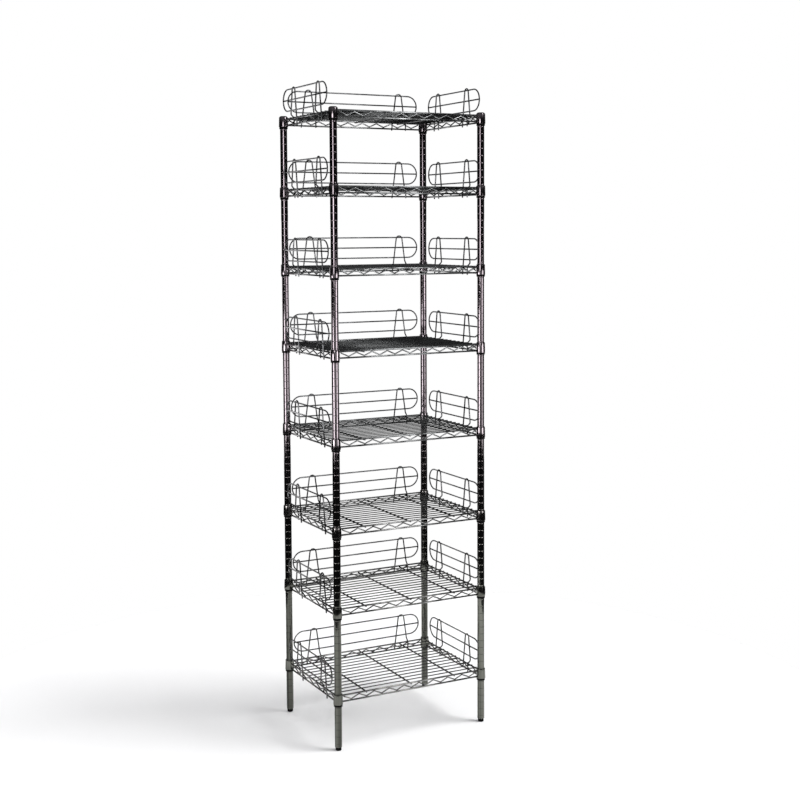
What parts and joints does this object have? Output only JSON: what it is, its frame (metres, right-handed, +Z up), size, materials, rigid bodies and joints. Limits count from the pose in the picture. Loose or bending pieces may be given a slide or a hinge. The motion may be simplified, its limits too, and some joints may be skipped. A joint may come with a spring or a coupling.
{
  "type": "wire shelving unit",
  "caption": "Tall chrome wire shelving unit: grooved posts on levelling feet carry wire shelves on tapered split sleeves, with lift-off wire ledges at back and sides.",
  "frame": {"origin": "on the floor, midway between the four posts", "axes": "+X to the right along the shelves as seen from the open front, +Y from the front to the back, +Z up"},
  "size_m": [0.6096, 0.4576, 2.3088],
  "materials": {
    "chrome_post": "bright plated steel tube",
    "chrome_wire": "bright plated welded steel wire",
    "black_plastic": "moulded black plastic",
    "black_foot": "moulded black plastic on a steel stem",
    "zinc_steel": "zinc plated turned steel"
  },
  "bodies": {
    "frame": {"post_front_left": "chrome_post", "post_front_right": "chrome_post", "post_back_left": "chrome_post", "post_back_right": "chrome_post", "cap_front_left": "black_plastic", "cap_front_right": "black_plastic", "cap_back_left": "black_plastic", "cap_back_right": "black_plastic", "insert_front_left": "zinc_steel", "insert_front_right": "zinc_steel", "insert_back_left": "zinc_steel", "insert_back_right": "zinc_steel", "sleeves_1": "black_plastic", "sleeves_2": "black_plastic", "sleeves_3": "black_plastic", "sleeves_4": "black_plastic", "sleeves_5": "black_plastic", "sleeves_6": "black_plastic", "sleeves_7": "black_plastic", "sleeves_8": "black_plastic"},
    "foot_front_left": {"foot_front_left": "black_foot"},
    "foot_front_right": {"foot_front_right": "black_foot"},
    "foot_back_left": {"foot_back_left": "black_foot"},
    "foot_back_right": {"foot_back_right": "black_foot"},
    "shelf_1": {"shelf_1": "chrome_wire"},
    "back_ledge_1": {"back_ledge_1": "chrome_wire"},
    "left_ledge_1": {"left_ledge_1": "chrome_wire"},
    "right_ledge_1": {"right_ledge_1": "chrome_wire"},
    "shelf_2": {"shelf_2": "chrome_wire"},
    "back_ledge_2": {"back_ledge_2": "chrome_wire"},
    "left_ledge_2": {"left_ledge_2": "chrome_wire"},
    "right_ledge_2": {"right_ledge_2": "chrome_wire"},
    "shelf_3": {"shelf_3": "chrome_wire"},
    "back_ledge_3": {"back_ledge_3": "chrome_wire"},
    "left_ledge_3": {"left_ledge_3": "chrome_wire"},
    "right_ledge_3": {"right_ledge_3": "chrome_wire"},
    "shelf_4": {"shelf_4": "chrome_wire"},
    "back_ledge_4": {"back_ledge_4": "chrome_wire"},
    "left_ledge_4": {"left_ledge_4": "chrome_wire"},
    "right_ledge_4": {"right_ledge_4": "chrome_wire"},
    "shelf_5": {"shelf_5": "chrome_wire"},
    "back_ledge_5": {"back_ledge_5": "chrome_wire"},
    "left_ledge_5": {"left_ledge_5": "chrome_wire"},
    "right_ledge_5": {"right_ledge_5": "chrome_wire"},
    "shelf_6": {"shelf_6": "chrome_wire"},
    "back_ledge_6": {"back_ledge_6": "chrome_wire"},
    "left_ledge_6": {"left_ledge_6": "chrome_wire"},
    "right_ledge_6": {"right_ledge_6": "chrome_wire"},
    "shelf_7": {"shelf_7": "chrome_wire"},
    "back_ledge_7": {"back_ledge_7": "chrome_wire"},
    "left_ledge_7": {"left_ledge_7": "chrome_wire"},
    "right_ledge_7": {"right_ledge_7": "chrome_wire"},
    "shelf_8": {"shelf_8": "chrome_wire"},
    "back_ledge_8": {"back_ledge_8": "chrome_wire"},
    "left_ledge_8": {"left_ledge_8": "chrome_wire"},
    "right_ledge_8": {"right_ledge_8": "chrome_wire"}
  },
  "joints": [
    {"name": "foot_front_left_level", "type": "slide", "parent": "frame", "child": "foot_front_left", "axis": [0, 0, -1], "range_m": [0, 0.015]},
    {"name": "foot_front_right_level", "type": "slide", "parent": "frame", "child": "foot_front_right", "axis": [0, 0, -1], "range_m": [0, 0.015]},
    {"name": "foot_back_left_level", "type": "slide", "parent": "frame", "child": "foot_back_left", "axis": [0, 0, -1], "range_m": [0, 0.015]},
    {"name": "foot_back_right_level", "type": "slide", "parent": "frame", "child": "foot_back_right", "axis": [0, 0, -1], "range_m": [0, 0.015]},
    {"name": "shelf_1_lift", "type": "slide", "parent": "frame", "child": "shelf_1", "axis": [0, 0, 1], "range_m": [0, 0.0508]},
    {"name": "back_ledge_1_lift", "type": "slide", "parent": "shelf_1", "child": "back_ledge_1", "axis": [0, 0, 1], "range_m": [0, 0.04]},
    {"name": "left_ledge_1_lift", "type": "slide", "parent": "shelf_1", "child": "left_ledge_1", "axis": [0, 0, 1], "range_m": [0, 0.04]},
    {"name": "right_ledge_1_lift", "type": "slide", "parent": "shelf_1", "child": "right_ledge_1", "axis": [0, 0, 1], "range_m": [0, 0.04]},
    {"name": "shelf_2_lift", "type": "slide", "parent": "frame", "child": "shelf_2", "axis": [0, 0, 1], "range_m": [0, 0.0508]},
    {"name": "back_ledge_2_lift", "type": "slide", "parent": "shelf_2", "child": "back_ledge_2", "axis": [0, 0, 1], "range_m": [0, 0.04]},
    {"name": "left_ledge_2_lift", "type": "slide", "parent": "shelf_2", "child": "left_ledge_2", "axis": [0, 0, 1], "range_m": [0, 0.04]},
    {"name": "right_ledge_2_lift", "type": "slide", "parent": "shelf_2", "child": "right_ledge_2", "axis": [0, 0, 1], "range_m": [0, 0.04]},
    {"name": "shelf_3_lift", "type": "slide", "parent": "frame", "child": "shelf_3", "axis": [0, 0, 1], "range_m": [0, 0.0508]},
    {"name": "back_ledge_3_lift", "type": "slide", "parent": "shelf_3", "child": "back_ledge_3", "axis": [0, 0, 1], "range_m": [0, 0.04]},
    {"name": "left_ledge_3_lift", "type": "slide", "parent": "shelf_3", "child": "left_ledge_3", "axis": [0, 0, 1], "range_m": [0, 0.04]},
    {"name": "right_ledge_3_lift", "type": "slide", "parent": "shelf_3", "child": "right_ledge_3", "axis": [0, 0, 1], "range_m": [0, 0.04]},
    {"name": "shelf_4_lift", "type": "slide", "parent": "frame", "child": "shelf_4", "axis": [0, 0, 1], "range_m": [0, 0.0508]},
    {"name": "back_ledge_4_lift", "type": "slide", "parent": "shelf_4", "child": "back_ledge_4", "axis": [0, 0, 1], "range_m": [0, 0.04]},
    {"name": "left_ledge_4_lift", "type": "slide", "parent": "shelf_4", "child": "left_ledge_4", "axis": [0, 0, 1], "range_m": [0, 0.04]},
    {"name": "right_ledge_4_lift", "type": "slide", "parent": "shelf_4", "child": "right_ledge_4", "axis": [0, 0, 1], "range_m": [0, 0.04]},
    {"name": "shelf_5_lift", "type": "slide", "parent": "frame", "child": "shelf_5", "axis": [0, 0, 1], "range_m": [0, 0.0508]},
    {"name": "back_ledge_5_lift", "type": "slide", "parent": "shelf_5", "child": "back_ledge_5", "axis": [0, 0, 1], "range_m": [0, 0.04]},
    {"name": "left_ledge_5_lift", "type": "slide", "parent": "shelf_5", "child": "left_ledge_5", "axis": [0, 0, 1], "range_m": [0, 0.04]},
    {"name": "right_ledge_5_lift", "type": "slide", "parent": "shelf_5", "child": "right_ledge_5", "axis": [0, 0, 1], "range_m": [0, 0.04]},
    {"name": "shelf_6_lift", "type": "slide", "parent": "frame", "child": "shelf_6", "axis": [0, 0, 1], "range_m": [0, 0.0508]},
    {"name": "back_ledge_6_lift", "type": "slide", "parent": "shelf_6", "child": "back_ledge_6", "axis": [0, 0, 1], "range_m": [0, 0.04]},
    {"name": "left_ledge_6_lift", "type": "slide", "parent": "shelf_6", "child": "left_ledge_6", "axis": [0, 0, 1], "range_m": [0, 0.04]},
    {"name": "right_ledge_6_lift", "type": "slide", "parent": "shelf_6", "child": "right_ledge_6", "axis": [0, 0, 1], "range_m": [0, 0.04]},
    {"name": "shelf_7_lift", "type": "slide", "parent": "frame", "child": "shelf_7", "axis": [0, 0, 1], "range_m": [0, 0.0508]},
    {"name": "back_ledge_7_lift", "type": "slide", "parent": "shelf_7", "child": "back_ledge_7", "axis": [0, 0, 1], "range_m": [0, 0.04]},
    {"name": "left_ledge_7_lift", "type": "slide", "parent": "shelf_7", "child": "left_ledge_7", "axis": [0, 0, 1], "range_m": [0, 0.04]},
    {"name": "right_ledge_7_lift", "type": "slide", "parent": "shelf_7", "child": "right_ledge_7", "axis": [0, 0, 1], "range_m": [0, 0.04]},
    {"name": "shelf_8_lift", "type": "slide", "parent": "frame", "child": "shelf_8", "axis": [0, 0, 1], "range_m": [0, 0.0508]},
    {"name": "back_ledge_8_lift", "type": "slide", "parent": "shelf_8", "child": "back_ledge_8", "axis": [0, 0, 1], "range_m": [0, 0.04]},
    {"name": "left_ledge_8_lift", "type": "slide", "parent": "shelf_8", "child": "left_ledge_8", "axis": [0, 0, 1], "range_m": [0, 0.04]},
    {"name": "right_ledge_8_lift", "type": "slide", "parent": "shelf_8", "child": "right_ledge_8", "axis": [0, 0, 1], "range_m": [0, 0.04]}
  ]
}
